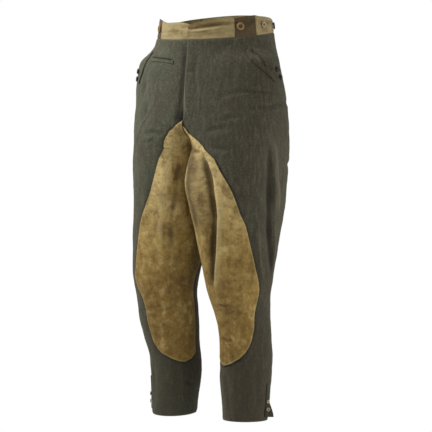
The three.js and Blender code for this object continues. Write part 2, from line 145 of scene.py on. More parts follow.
def islands(bm):
    """Groups of faces that join without a sharp edge."""
    left = set(bm.faces)
    found = []
    while left:
        group = [left.pop()]
        for face in group:
            for edge in face.edges:
                if len(edge.link_faces) != 2 or edge.calc_face_angle() > RIM_ANGLE:
                    continue
                for other in edge.link_faces:
                    if other in left:
                        left.remove(other)
                        group.append(other)
        found.append(group)
    return found


def outwardness(faces, side):
    """Area of the faces, counted as minus where they look towards the leg's middle."""
    total = 0.0
    for face in faces:
        centre = face.calc_center_median()
        x, y = leg_middle(centre.z / MM)
        away = Vector((centre.x - SIDES[side] * x * MM, centre.y - y * MM, 0)).normalized()
        total += face.calc_area() * face.normal.dot(away)
    return total


def outer_face(node, side, name, levels):
    """A fine sheet on the outer face of a node's wall."""
    mesh = NODES[node].data.copy()
    mesh.materials.clear()
    piece = bpy.data.objects.new(name, mesh)
    bpy.context.scene.collection.objects.link(piece)
    activate(piece)
    bpy.ops.object.mode_set(mode="EDIT")
    bpy.ops.mesh.select_all(action="SELECT")
    bpy.ops.mesh.remove_doubles(threshold=0.01 * MM)
    bm = bmesh.from_edit_mesh(mesh)
    bm.normal_update()
    keep = set(max(islands(bm), key=lambda faces: outwardness(faces, side)))
    for face in bm.faces:
        face.select_set(face not in keep)
    bmesh.update_edit_mesh(mesh)
    bpy.ops.mesh.delete(type="FACE")
    bpy.ops.mesh.select_all(action="SELECT")
    bpy.ops.mesh.tris_convert_to_quads(face_threshold=math.radians(50), shape_threshold=math.radians(70))
    bpy.ops.object.mode_set(mode="OBJECT")
    rounded = piece.modifiers.new("rounded", "SUBSURF")
    rounded.levels = rounded.render_levels = levels
    rounded.boundary_smooth = "PRESERVE_CORNERS"
    bpy.ops.object.modifier_apply(modifier="rounded")
    return piece


# %% [markdown]
# Folds are what makes cloth look like cloth. Each one is placed as a soft trough along a line
# on the leg, with its own depth and breadth, and a low lip beside it where the cloth is pushed
# up. Wool and leather read the same table, so a fold runs through both.

# %% Folds
# side, depth and half breadth in mm, lip on the side of growing angle (1) or the other (-1),
# then the line as heights and angles.
FOLDS = [
    # Down the front of the left thigh, from the fork to the inner knee.
    (
        "left", 9.0, 9, 1,
        [(-262, -112), (-315, -104), (-357, -100), (-440, -99), (-501, -105), (-560, -112), (-640, -122)],
    ),
    ("left", 3.0, 14, -1, [(-300, -128), (-400, -124), (-500, -128), (-570, -133)]),
    ("left", -3.0, 9, 0, [(-340, -92), (-440, -88), (-560, -99), (-650, -106)]),
    # Outer thigh, left: a long dark fold with a light edge behind it.
    ("left", 7.0, 11, 1, [(-240, -30), (-325, -24), (-404, -19), (-497, -9), (-600, 8)]),
    ("left", -3.6, 6, 0, [(-225, -26), (-313, -17), (-386, -5), (-460, 8)]),
    ("left", -1.4, 4, 0, [(-440, -36), (-509, -31), (-565, -23), (-612, -12)]),
    ("left", 2.0, 10, 1, [(-455, -48), (-540, -42), (-600, -30)]),
    # Behind the left knee the outline dips in.
    ("left", 3.0, 7, 1, [(-310, 10), (-322, 35), (-330, 62)]),
    # Hip, left: shallow creases that run round to the seat.
    ("left", 2.8, 5, 1, [(-170, -62), (-156, -44), (-151, -30), (-153, -16), (-160, 4)]),
    ("left", 3.0, 6, 1, [(-196, -48), (-192, -34), (-186, -14), (-177, 8), (-176, 36)]),
    ("left", 1.2, 5, -1, [(-226, -84), (-214, -60), (-208, -40)]),
    # Hip and outer thigh, right.
    ("right", 2.4, 8, 1, [(-112, -26), (-160, -36), (-205, -52), (-245, -66)]),
    ("right", 2.6, 12, -1, [(-240, -36), (-330, -34), (-440, -28), (-560, -22)]),
    ("right", -1.6, 6, 0, [(-130, -52), (-260, -56), (-380, -50)]),
    ("right", 1.6, 6, 1, [(-212, -70), (-232, -92), (-240, -112)]),
    ("right", 1.4, 6, 1, [(-262, -50), (-270, -72), (-268, -94)]),
    # Front of the right thigh: broad and soft, with stretched lines from the fork.
    ("right", 3.4, 12, 1, [(-285, -128), (-360, -122), (-460, -120), (-560, -124)]),
    ("right", -2.0, 10, 0, [(-300, -108), (-400, -104), (-520, -108)]),
    ("right", 1.2, 7, 1, [(-330, -92), (-420, -88), (-500, -92)]),
    # Fork: short lines that fan out from it.
    ("left", 2.2, 7, 1, [(-246, -96), (-238, -78), (-236, -60)]),
    ("left", 1.8, 6, -1, [(-282, -100), (-286, -82), (-288, -72)]),
    ("right", 2.2, 7, -1, [(-252, -100), (-246, -84), (-250, -66)]),
    ("right", 1.4, 6, 1, [(-352, -136), (-356, -124), (-352, -112)]),
    # Beside the fly.
    ("right", 3.4, 9, -1, [(-30, -84), (-90, -83), (-140, -90), (-180, -95), (-220, -107)]),
    ("left", 1.4, 6, 1, [(-48, -78), (-110, -80), (-170, -86)]),
    ("left", 0.9, 4, 1, [(-106, -92), (-104, -84), (-106, -76)]),
    # Knees: across the front, and deeper behind.
    ("left", 2.2, 6, 1, [(-646, -118), (-652, -100), (-649, -82)]),
    ("left", 2.6, 5, 1, [(-728, -128), (-736, -108), (-734, -88)]),
    ("left", 2.2, 6, -1, [(-690, -120), (-712, -104), (-742, -88)]),
    ("left", 1.6, 5, 1, [(-770, -96), (-782, -84), (-778, -70)]),
    ("right", 2.4, 7, 1, [(-652, -112), (-662, -94), (-668, -76)]),
    ("right", 1.2, 6, -1, [(-664, -86), (-672, -66), (-668, -48)]),
    ("right", 1.6, 7, 1, [(-700, -120), (-712, -98), (-708, -78)]),
    ("left", 5.0, 9, 1, [(-606, 60), (-622, 88), (-628, 118), (-622, 150)]),
    ("left", 4.0, 8, -1, [(-634, 40), (-646, 74), (-650, 110), (-640, 140)]),
    ("left", 3.0, 8, 1, [(-580, 90), (-590, 118), (-586, 150)]),
    ("left", 2.4, 8, 1, [(-672, 66), (-680, 96), (-676, 128)]),
    ("right", 5.0, 9, 1, [(-600, 52), (-618, 84), (-622, 116), (-612, 150)]),
    ("right", 4.2, 8, -1, [(-630, 48), (-642, 82), (-648, 118)]),
    ("right", 2.8, 8, 1, [(-574, 84), (-584, 112), (-578, 146)]),
    ("right", 2.4, 8, 1, [(-668, 60), (-676, 92), (-672, 122)]),
    # Seat and back of the thighs.
    ("left", 4.0, 10, 1, [(-318, 60), (-336, 84), (-344, 112), (-338, 140)]),
    ("left", 2.4, 8, -1, [(-364, 80), (-374, 106), (-372, 134)]),
    ("left", 3.0, 12, 1, [(-150, 96), (-220, 104), (-290, 112)]),
    ("left", 2.6, 11, 1, [(-380, 74), (-460, 68), (-550, 60)]),
    ("left", 3.0, 12, -1, [(-400, 128), (-480, 122), (-560, 118)]),
    ("right", 3.6, 10, 1, [(-312, 56), (-332, 80), (-342, 108), (-336, 138)]),
    ("right", 2.6, 8, -1, [(-360, 76), (-372, 102), (-368, 128)]),
    ("right", 2.8, 12, 1, [(-140, 92), (-214, 98), (-284, 106)]),
    ("right", 2.8, 11, 1, [(-376, 78), (-456, 70), (-548, 58)]),
    ("right", 2.6, 12, -1, [(-404, 124), (-484, 120), (-556, 114)]),
    ("left", 1.8, 8, 1, [(-60, 60), (-110, 66), (-160, 74)]),
    ("right", 1.8, 8, 1, [(-56, 64), (-104, 70), (-150, 78)]),
    # Calves and hems.
    ("left", 1.8, 9, 1, [(-790, -40), (-850, -36), (-905, -30)]),
    ("left", 1.6, 9, -1, [(-800, -110), (-860, -106), (-915, -104)]),
    ("left", 2.0, 9, 1, [(-720, 110), (-790, 104), (-870, 100)]),
    ("right", 1.8, 9, 1, [(-800, -62), (-860, -58), (-915, -56)]),
    ("right", 1.4, 8, -1, [(-780, -120), (-840, -124), (-900, -122)]),
    ("right", 2.0, 9, 1, [(-716, 106), (-786, 102), (-866, 96)]),
    ("right", 2.0, 6, 1, [(-838, -136), (-846, -152), (-850, -168)]),
]
# Share of a fold's length over which it fades out at each end, and its lip's share of the depth.
FADE = 0.24
LIP = 0.35
# In millimetres: how far from an edge the cloth is calm, and the sizes of its two sets of lumps.
SEAM_CALM = 6
BROAD_LUMP = 34
SMALL_LUMP = 13

# %% [markdown]
# Wear and soil leave marks that no fold makes: grease on the inner thighs, rubbed edges. The
# same marks hold painted shade in a pocket mouth, in creases, at the fork and between the
# thighs, and painted highlights on fold ridges. They are written in the same way as the folds.

# %% Marks
# side, cloth, darkness (below 0 is lighter), half breadth in mm, then heights and angles.
MARKS = [
    # Fly: a painted highlight along the lap's edge, and a painted shadow of the lap on the right front.
    ("left", "wool", -0.55, 2.4, [(-30, -96), (-90, -97), (-140, -99), (-190, -101), (-222, -104)]),
    ("right", "wool", 0.50, 11.0, [(-30, -84), (-90, -83), (-140, -90), (-180, -95), (-220, -107)]),
    ("left", "wool", 0.35, 2.6, [(-42, -70), (-100, -68), (-150, -75), (-190, -84), (-215, -98)]),
    # Fork: painted shade on both sides of the seam, where the legs meet.
    ("right", "wool", 0.75, 14.0, [(-196, -100), (-214, -112), (-232, -126)]),
    ("left", "wool", 0.60, 12.0, [(-200, -108), (-218, -116), (-232, -126)]),
    # Pockets: painted shade in the slit's mouth and in the slanted mouth with its tack, and two dark spots.
    ("right", "wool", 0.95, 2.6, [(-67, -32), (-71, -48), (-76, -65)]),
    ("left", "wool", 0.75, 2.6, [(-49, -26), (-66, -19), (-90, -13), (-117, -7)]),
    ("left", "wool", -0.60, 5.0, [(-66, -24), (-84, -17)]),
    ("left", "wool", 0.70, 3.0, [(-96, -7), (-101, -5)]),
    ("left", "wool", 0.70, 3.0, [(-114, -2), (-119, 0)]),
    # Outer thigh and calf, left: painted highlights on two fold ridges, the painted shadow of the long outer
    # fold, a worn patch, and dust spots.
    ("left", "wool", -0.55, 3.2, [(-234, -27), (-313, -20), (-386, -6), (-428, 5)]),
    ("left", "wool", 0.55, 12.0, [(-325, -24), (-404, -21), (-497, -7), (-586, 10)]),
    ("left", "wool", -0.45, 2.6, [(-461, -35), (-509, -32), (-565, -23)]),
    ("left", "wool", -0.70, 8.0, [(-452, 34), (-482, 37)]),
    ("left", "wool", -0.90, 2.6, [(-876, 3), (-880, 3)]),
    ("left", "wool", -0.90, 2.6, [(-893, 3), (-897, 3)]),
    # Outer thigh, right: painted highlights down the side, on the ridges of its folds.
    ("right", "wool", -0.45, 3.0, [(-80, -30), (-200, -36), (-330, -40), (-520, -34)]),
    ("right", "wool", -0.30, 3.0, [(-120, -46), (-260, -54), (-400, -50)]),
    # Leather: darker where the thighs meet, partly grease and partly painted shade; painted shade in the fork
    # and knee creases.
    ("right", "leather", 0.45, 24.0, [(-300, -158), (-430, -166), (-530, -168), (-640, -162)]),
    ("left", "leather", 0.70, 16.0, [(-240, -120), (-380, -126), (-480, -128)]),
    ("left", "leather", 0.48, 26.0, [(-290, -112), (-380, -112), (-480, -114)]),
    ("left", "leather", 0.55, 5.0, [(-284, -132), (-287, -118), (-290, -108)]),
    ("left", "leather", 0.60, 5.0, [(-648, -112), (-652, -98), (-649, -84)]),
    ("left", "leather", 0.55, 5.0, [(-728, -124), (-736, -106), (-733, -88)]),
    ("left", "leather", 0.50, 9.0, [(-770, -98), (-786, -90)]),
    ("right", "leather", 0.55, 5.0, [(-660, -132), (-668, -112), (-672, -92)]),
    ("right", "leather", 0.45, 10.0, [(-740, -118), (-780, -112)]),
    # Waistband: the rolled upper half with painted shade along its crease, painted shade in the smaller
    # creases, the hooks' stitches and the bar tack.
    ("left", "cotton", 0.95, 4.5, [(-3, -99), (-2, -84), (3, -66), (9, -40)]),
    ("left", "cotton", 0.60, 8.0, [(7, -99), (7, -84), (9, -66), (13, -46)]),
    ("left", "cotton", 0.50, 8.0, [(-19, -98), (-18, -80), (-15, -46)]),
    ("left", "cotton", -0.55, 3.0, [(-10, -92), (-9, -76), (-4, -56)]),
    ("right", "cotton", 0.5, 2.8, [(-8, -36), (-9, -60), (-9, -84)]),
    ("right", "cotton", 0.35, 7.0, [(4, -90), (4, -70), (6, -50)]),
    ("left", "cotton", 0.80, 2.6, [(12, -96), (6, -94), (0, -93)]),
    ("left", "cotton", 0.85, 3.0, [(-4, -37), (4, -36), (12, -37)]),
    ("right", "cotton", 0.65, 2.8, [(-11, -78), (-14, -78), (-17, -78)]),
]


def smooth_step(t):
    t = np.clip(t, 0, 1)
    return t * t * (3 - 2 * t)


def line_distance(height, angle, radius, line):
    """Distance to a line on the leg, the same with a sign, share run along it, and its length."""
    lengths = []
    for (h1, a1), (h2, a2) in zip(line, line[1:]):
        lengths.append(math.hypot(h2 - h1, math.radians(a2 - a1) * CLOTH_RADIUS))
    whole = sum(lengths)
    best = np.full(height.shape, 1e9)
    signed = np.zeros(height.shape)
    along = np.zeros(height.shape)
    run = 0.0
    for ((h1, a1), (h2, a2)), length in zip(zip(line, line[1:]), lengths):
        up, over = h2 - h1, np.radians(a2 - a1) * radius
        dup, dover = height - h1, np.radians(angle - a1) * radius
        square = up * up + over * over
        t = np.clip((dup * up + dover * over) / square, 0, 1)
        away = np.hypot(dup - t * up, dover - t * over)
        cross = (up * dover - over * dup) / np.sqrt(square)
        nearer = away < best
        best = np.where(nearer, away, best)
        signed = np.where(nearer, cross * (-1 if up < 0 else 1), signed)
        along = np.where(nearer, (run + t * length) / whole, along)
        run += length
    return best, signed, along, whole


def fold_depth(height, angle, radius, fold):
    """How far one fold sinks each point, in millimetres."""
    _, depth, breadth, lip, line = fold
    best, signed, along, whole = line_distance(height, angle, radius, line)
    ends = smooth_step(along / FADE) * smooth_step((1 - along) / FADE)
    uneven = 1 + 0.22 * np.sin(along * whole / 13 + depth * 3)
    trough = np.exp(-((best / breadth) ** 2))
    beside = np.exp(-(((signed * lip - 1.7 * breadth) / breadth) ** 2)) if lip else 0
    return depth * ends * uneven * (trough - LIP * beside)


def get_points(piece):
    flat = np.empty(len(piece.data.vertices) * 3)
    piece.data.vertices.foreach_get("co", flat)
    return flat.reshape(-1, 3)


def set_points(piece, points):
    piece.data.vertices.foreach_set("co", points.ravel())
    piece.data.update()


def get_normals(piece):
    flat = np.empty(len(piece.data.vertices) * 3)
    piece.data.vertex_normals.foreach_get("vector", flat)
    return flat.reshape(-1, 3)


def rumple(points, seed, size):
    """Low soft noise with bumps of about one size, in millimetres."""
    shift = Vector((seed * 7.3, seed * 3.1, seed * 5.7))
    scale = 1 / (size * MM)
    return np.array([noise.noise(Vector(p) * scale + shift) for p in points])


def write_attribute(piece, name, values):
    layer = piece.data.attributes.new(name, "FLOAT", "POINT")
    layer.data.foreach_set("value", values.astype(np.float32))


def edge_distance(piece):
    """Distance of each point to the sheet's nearest cut edge, in millimetres."""
    bm = bmesh.new()
    bm.from_mesh(piece.data)
    rim = [v.co.copy() for v in bm.verts if v.is_boundary]
    bm.free()
    tree = KDTree(len(rim))
    for i, co in enumerate(rim):
        tree.insert(co, i)
    tree.balance()
    return np.array([tree.find(Vector(p))[2] / MM for p in get_points(piece)])


def write_weave_map(piece, side, part):
    """A UV map in metres of cloth: round the leg, and down it."""
    height, angle, _ = cloth_place(get_points(piece), side, part)
    uv = np.stack([np.radians(angle) * CLOTH_RADIUS * MM, height * MM], axis=1)
    loops = np.empty(len(piece.data.loops), np.int32)
    piece.data.loops.foreach_get("vertex_index", loops)
    layer = piece.data.uv_layers.new(name="cloth")
    layer.data.foreach_set("uv", uv[loops].astype(np.float32).ravel())


def write_marks(piece, side, cloth, height, angle, radius):
    """Notes how dark (above 0) or light (below 0) each point is made by wear, soil, painted shade and painted
    highlights.
    """
    tone = np.zeros(len(height))
    for where, what, amount, breadth, line in MARKS:
        if where == side and what == cloth:
            away, _, along, _ = line_distance(height, angle, radius, line)
            ends = smooth_step(along / 0.12) * smooth_step((1 - along) / 0.12)
            tone += amount * np.exp(-((away / breadth) ** 2)) * (0.35 + 0.65 * ends)
    write_attribute(piece, "mark", np.clip(tone, -1, 1))


def press_folds(piece, side, part, cloth, seam_pinch, rough):
    """Sinks the folds into a sheet, pinches its seams and notes its hollows and marks."""
    points = get_points(piece)
    height, angle, radius = cloth_place(points, side, part)
    sunk = np.zeros(len(points))
    for fold in FOLDS:
        if fold[0] == side:
            sunk += fold_depth(height, angle, radius, fold)
    edge = edge_distance(piece)
    calm = smooth_step(edge / SEAM_CALM)
    broad = rumple(points, SIDES[side] + 2, BROAD_LUMP)
    small = rumple(points, SIDES[side] + 5, SMALL_LUMP)
    uneven = rough * (broad + 0.45 * small)
    pinch = seam_pinch * np.exp(-((edge / 2.6) ** 2)) - 0.35 * seam_pinch * np.exp(-(((edge - 7) / 4) ** 2))
    moved = sunk * (0.35 + 0.65 * calm) + uneven * calm + pinch
    set_points(piece, points - get_normals(piece) * moved[:, None] * MM)
    write_attribute(piece, "hollow", sunk + uneven)
    write_attribute(piece, "edge", edge)
    write_marks(piece, side, cloth, height, angle, radius)


# %% [markdown]
# Below the fork the thighs press together, and the crack between them leans to the wearer's
# right. The front inner corners of both legs are drawn over there, by a shift that depends on
# the place alone, so that wool and leather stay one above the other. Under the leather the
# wool also gives way a little.

# %% Settle the fork
# Height, shift across and shift up, in mm.
FORK_SHIFT = np.array(
    [
        (-150, 0, 0),
        (-190, -2, -2),
        (-222, -6, -5),
        (-250, -10, -5),
        (-284, -12, -3),
        (-330, -11, 0),
        (-380, -8, 0),
        (-430, -4, 0),
        (-480, 0, 0),
    ],
    float,
)
# The shift fades out this far from the centre plane, and behind this depth.
FORK_REACH = 85
FORK_DEPTH = -50
FORK_BLEND = 40
# The wool sinks this much wherever leather lies this near.
UNDER_LEATHER = 0.9
COVER_REACH = 4.5


def settle_fork(piece):
    """Draws the front inner corner of a sheet towards the wearer's right."""
    points = get_points(piece)
    across, deep, height = (points / MM).T
    near = smooth_step(1 - np.abs(across) / FORK_REACH) * smooth_step((FORK_DEPTH - deep) / FORK_BLEND)
    for axis, column in ((0, 1), (2, 2)):
        shift = np.interp(-height, -FORK_SHIFT[:, 0], FORK_SHIFT[:, column])
        points[:, axis] += shift * near * MM
    set_points(piece, points)


def give_way(piece, cover):
    """Sinks the cloth a little wherever the covering sheet lies on it."""
    points = get_points(piece)
    normals = get_normals(piece)
    reach = COVER_REACH * MM
    covered = np.array([cover.find_nearest(Vector(p), reach)[0] is not None for p in points])
    set_points(piece, points - normals * (covered * UNDER_LEATHER * MM)[:, None])


# %% [markdown]
# A node of a material is added by one small function, which takes the node's settings and
# what goes into its inputs. Colours are written as they look on a screen, in hex, and turned
# to the linear values that light is counted in.


# %% Helpers for materials
def colour(code):
    """A linear colour from an sRGB hex code."""
    parts = [int(code[i : i + 2], 16) / 255 for i in (0, 2, 4)]
    return tuple(c / 12.92 if c <= 0.04045 else ((c + 0.055) / 1.055) ** 2.4 for c in parts) + (1.0,)


def add_node(tree, kind, inputs=None, **settings):
    """Adds a node: its settings, then what each input holds or is linked to."""
    made = tree.nodes.new(kind)
    for name, value in settings.items():
        setattr(made, name, value)
    for name, value in (inputs or {}).items():
        if isinstance(value, bpy.types.NodeSocket):
            tree.links.new(value, made.inputs[name])
        else:
            made.inputs[name].default_value = value
    return made


def new_material(name, **surface):
    """A material with a Principled surface, and its node tree."""
    made = bpy.data.materials.new(name)
    made.use_nodes = True
    shader = made.node_tree.nodes["Principled BSDF"]
    for socket, value in surface.items():
        shader.inputs[socket.replace("_", " ")].default_value = value
    return made, made.node_tree, shader


def grain(tree, where, size, detail=3.0, roughness=0.55, stretch=(1, 1, 1)):
    """Noise from 0 to 1 whose lumps are about size metres across, drawn out along an axis."""
    scaled = add_node(
        tree, "ShaderNodeMapping", {"Vector": where, "Scale": [1 / (size * s) for s in stretch]}
    )
    return add_node(
        tree,
        "ShaderNodeTexNoise",
        {"Vector": scaled.outputs["Vector"], "Scale": 1.0, "Detail": detail, "Roughness": roughness},
    ).outputs["Fac"]


def remap(tree, value, low, high, to_low=0.0, to_high=1.0):
    return add_node(
        tree,
        "ShaderNodeMapRange",
        {"Value": value, "From Min": low, "From Max": high, "To Min": to_low, "To Max": to_high},
        interpolation_type="SMOOTHSTEP",
    ).outputs["Result"]


def blend(tree, share, first, second, mode="MIX"):
    """Mixes two colours; share is a number or a socket."""
    made = add_node(tree, "ShaderNodeMix", data_type="RGBA", blend_type=mode)
    for name, value in (("Factor_Float", share), ("A_Color", first), ("B_Color", second)):
        socket = next(s for s in made.inputs if s.identifier == name)
        if isinstance(value, bpy.types.NodeSocket):
            tree.links.new(value, socket)
        else:
            socket.default_value = value
    return next(s for s in made.outputs if s.identifier == "Result_Color")


def count(tree, operation, first, second=0.0):
    made = add_node(tree, "ShaderNodeMath", operation=operation)
    for i, value in enumerate((first, second)):
        if isinstance(value, bpy.types.NodeSocket):
            tree.links.new(value, made.inputs[i])
        else:
            made.inputs[i].default_value = value
    return made.outputs[0]


def attribute(tree, name):
    return add_node(tree, "ShaderNodeAttribute", attribute_name=name).outputs["Fac"]


def bumps(tree, shader, height, distance):
    """Bump of a real height: distance is the rise in metres where height goes from 0 to 1."""
    made = add_node(tree, "ShaderNodeBump", {"Height": height, "Distance": distance, "Strength": 1.0})
    tree.links.new(made.outputs["Normal"], shader.inputs["Normal"])


# %% [markdown]
# The cloth is a milled wool twill in field grey: green and brown fibres carded together,
# woven, then shrunk and brushed until a short nap hides the weave. It is quite without
# gloss, has a soft light sheen where it turns away, and is rubbed paler on its edges.
# Painted shade darkens the troughs of its folds, and a painted highlight lightens their
# ridges along with rubbing. It also darkens towards the hems, partly from soil and partly
# as painted shade for the light that falls off down the legs.

# %% Milled wool twill
WOOL_MID = colour("4b483a")
WOOL_GREEN = colour("4d5041")
WOOL_BROWN = colour("433a2e")
WOOL_WORN_AND_HIGHLIGHT = colour("716d5a")
WOOL_SHADE = colour("2a271d")
WOOL_LOW = colour("332d22")
WOOL_SOIL_AND_SHADE = colour("171410")
TWILL_RIB = 0.0016
NAP_TUFT = 0.004
CLOTH_PATCH = 0.09


def milled_wool():
    made, tree, shader = new_material(
        "milled_wool_twill",
        Roughness=0.95,
        Sheen_Weight=0.25,
        Sheen_Roughness=0.5,
        Sheen_Tint=colour("b9b39a"),
        Specular_IOR_Level=0.25,
    )
    where = add_node(tree, "ShaderNodeTexCoord").outputs["Object"]
    cloth = add_node(tree, "ShaderNodeUVMap", uv_map="cloth").outputs["UV"]
    split = add_node(tree, "ShaderNodeSeparateXYZ", {"Vector": where})
    leftwards = remap(tree, split.outputs["X"], -0.12, 0.16)
    patches = grain(tree, where, CLOTH_PATCH, 4.0)
    tint = blend(tree, count(tree, "MULTIPLY", leftwards, 0.75), WOOL_GREEN, WOOL_BROWN)
    tint = blend(tree, remap(tree, patches, 0.35, 0.68), tint, WOOL_MID)
    streaks = grain(tree, where, 0.007, 3.0, 0.6, stretch=(1, 1, 5))
    tint = blend(tree, remap(tree, streaks, 0.42, 0.72, 0.0, 0.35), tint, WOOL_WORN_AND_HIGHLIGHT)
    tufts = grain(tree, where, NAP_TUFT, 4.0, 0.7)
    tint = blend(tree, remap(tree, tufts, 0.38, 0.62, 0.0, 0.5), tint, WOOL_SHADE)
    flecks = grain(tree, where, 0.0018, 2.0, 0.6)
    tint = blend(tree, remap(tree, flecks, 0.62, 0.72, 0.0, 0.45), tint, WOOL_WORN_AND_HIGHLIGHT)
    # Painted shade in the troughs of the folds, and a painted highlight on their ridges along with rubbing.
    hollow = attribute(tree, "hollow")
    tint = blend(tree, remap(tree, hollow, 0.6, 6.0, 0.0, 0.6), tint, WOOL_SHADE)
    tint = blend(tree, remap(tree, hollow, -0.5, -3.5, 0.0, 0.45), tint, WOOL_WORN_AND_HIGHLIGHT)
    # Darker towards the hems: partly soil, partly painted shade for the light that falls off down the legs.
    tint = blend(tree, remap(tree, split.outputs["Z"], -0.35, -0.82, 0.0, 0.5), tint, WOOL_LOW)
    # The marks: soil and wear, with painted shade in pocket mouths, folds and the fork, and painted
    # highlights on ridges and the fly's lap.
    mark = attribute(tree, "mark")
    tint = blend(tree, remap(tree, mark, 0.05, 0.95, 0.0, 0.9), tint, WOOL_SOIL_AND_SHADE)
    tint = blend(tree, remap(tree, mark, -0.05, -0.95, 0.0, 0.9), tint, WOOL_WORN_AND_HIGHLIGHT)
    edge = attribute(tree, "edge")
    tint = blend(tree, remap(tree, edge, 2.6, 0.6, 0.0, 0.35), tint, WOOL_WORN_AND_HIGHLIGHT)
    tree.links.new(tint, shader.inputs["Base Color"])
    rib_split = add_node(tree, "ShaderNodeSeparateXYZ", {"Vector": cloth})
    slope = count(tree, "ADD", rib_split.outputs["X"], rib_split.outputs["Y"])
    rib = count(tree, "SINE", count(tree, "MULTIPLY", slope, 2 * math.pi / TWILL_RIB / math.sqrt(2)))
    nap = count(tree, "ADD", count(tree, "MULTIPLY", rib, 0.12), tufts)
    bumps(tree, shader, nap, 0.9 * MM)
    return made


WOOL = milled_wool()

# %% [markdown]
# The strapping is oil-tanned leather with its flesh side out, brushed to a suede. Riding has
# polished and soiled it: pale and creamy where it was rubbed, brown where grease went in,
# with a paler rim along the stitched edge. It is darker down the shin, partly from soil and
# partly as painted shade for the light that falls off down the legs. Painted shade darkens
# every crease, and a painted highlight lightens the ridges.

# %% Worn suede leather
HIDE_PALE = colour("dac286")
HIDE_MID = colour("9c8145")
HIDE_LOW = colour("846930")
HIDE_STAIN = colour("5c4320")
HIDE_RIM = colour("b3a06f")
HIDE_SHADE = colour("3c2d12")
HIDE_GREASE_AND_SHADE = colour("40301a")
HIDE_NAP = 0.0014
HIDE_CLOUD = 0.05


def worn_suede():
    made, tree, shader = new_material(
        "worn_suede_leather",
        Roughness=0.86,
        Sheen_Weight=0.18,
        Sheen_Roughness=0.45,
        Sheen_Tint=colour("d8c890"),
        Specular_IOR_Level=0.35,
    )
    where = add_node(tree, "ShaderNodeTexCoord").outputs["Object"]
    split = add_node(tree, "ShaderNodeSeparateXYZ", {"Vector": where})
    # Paler at the top and darker down the shin: partly soil, partly painted shade for the light that falls
    # off down the legs.
    clouds = grain(tree, where, HIDE_CLOUD, 5.0, 0.6)
    height = count(tree, "ADD", split.outputs["Z"], count(tree, "MULTIPLY", clouds, 0.22))
    tint = blend(tree, remap(tree, height, -0.62, -0.30), HIDE_LOW, HIDE_MID)
    tint = blend(tree, remap(tree, height, -0.42, -0.16, 0.0, 0.8), tint, HIDE_PALE)
    blots = grain(tree, where, 0.028, 5.0, 0.65, stretch=(1, 1, 1.6))
    tint = blend(tree, remap(tree, blots, 0.48, 0.66, 0.0, 0.62), tint, HIDE_STAIN)
    tint = blend(tree, remap(tree, blots, 0.47, 0.32, 0.0, 0.42), tint, HIDE_PALE)
    smears = grain(tree, where, 0.013, 5.0, 0.65)
    tint = blend(tree, remap(tree, smears, 0.50, 0.66, 0.0, 0.45), tint, HIDE_STAIN)
    tint = blend(tree, remap(tree, smears, 0.47, 0.33, 0.0, 0.40), tint, HIDE_RIM)
    scuffs = grain(tree, where, 0.008, 4.0, 0.7)
    tint = blend(tree, remap(tree, scuffs, 0.48, 0.72, 0.0, 0.5), tint, HIDE_LOW)
    veins = grain(tree, where, 0.03, 2.5, 0.5, stretch=(2.2, 2.2, 0.7))
    crease = count(tree, "ABSOLUTE", count(tree, "SUBTRACT", veins, 0.5))
    worn = remap(tree, grain(tree, where, 0.045, 2.0), 0.42, 0.62)
    broad = remap(tree, crease, 0.08, 0.0, 0.0, 0.26)
    tint = blend(tree, count(tree, "MULTIPLY", broad, worn), tint, HIDE_STAIN)
    # Painted shade in the troughs of the folds, and a painted highlight on their ridges.
    hollow = attribute(tree, "hollow")
    tint = blend(tree, remap(tree, hollow, 0.6, 6.0, 0.0, 0.85), tint, HIDE_SHADE)
    tint = blend(tree, remap(tree, hollow, -0.4, -3.0, 0.0, 0.5), tint, HIDE_RIM)
    # The marks: grease, and painted shade between the thighs and in the creases.
    mark = attribute(tree, "mark")
    tint = blend(tree, remap(tree, mark, 0.05, 0.95, 0.0, 0.8), tint, HIDE_GREASE_AND_SHADE)
    edge = attribute(tree, "edge")
    tint = blend(tree, remap(tree, edge, 4.5, 2.0, 0.0, 0.35), tint, HIDE_RIM)
    tint = blend(tree, remap(tree, edge, 1.1, 0.5, 0.0, 0.8), tint, HIDE_SHADE)
    tree.links.new(tint, shader.inputs["Base Color"])
    nap = count(tree, "ADD", count(tree, "MULTIPLY", grain(tree, where, HIDE_NAP, 3.0), 0.35), scuffs)
    nap = count(tree, "ADD", nap, remap(tree, crease, 0.0, 0.08, 0.0, 0.45))
    bumps(tree, shader, nap, 0.8 * MM)
    return made


SUEDE = worn_suede()

# %% [markdown]
# The waistband fronts are a pale unbleached cotton, plain woven and creased from being
# washed. The piece behind the button is a brown cotton twill. Both are stained by wear.

# %% Band cottons
COTTON_THREAD = 0.0013


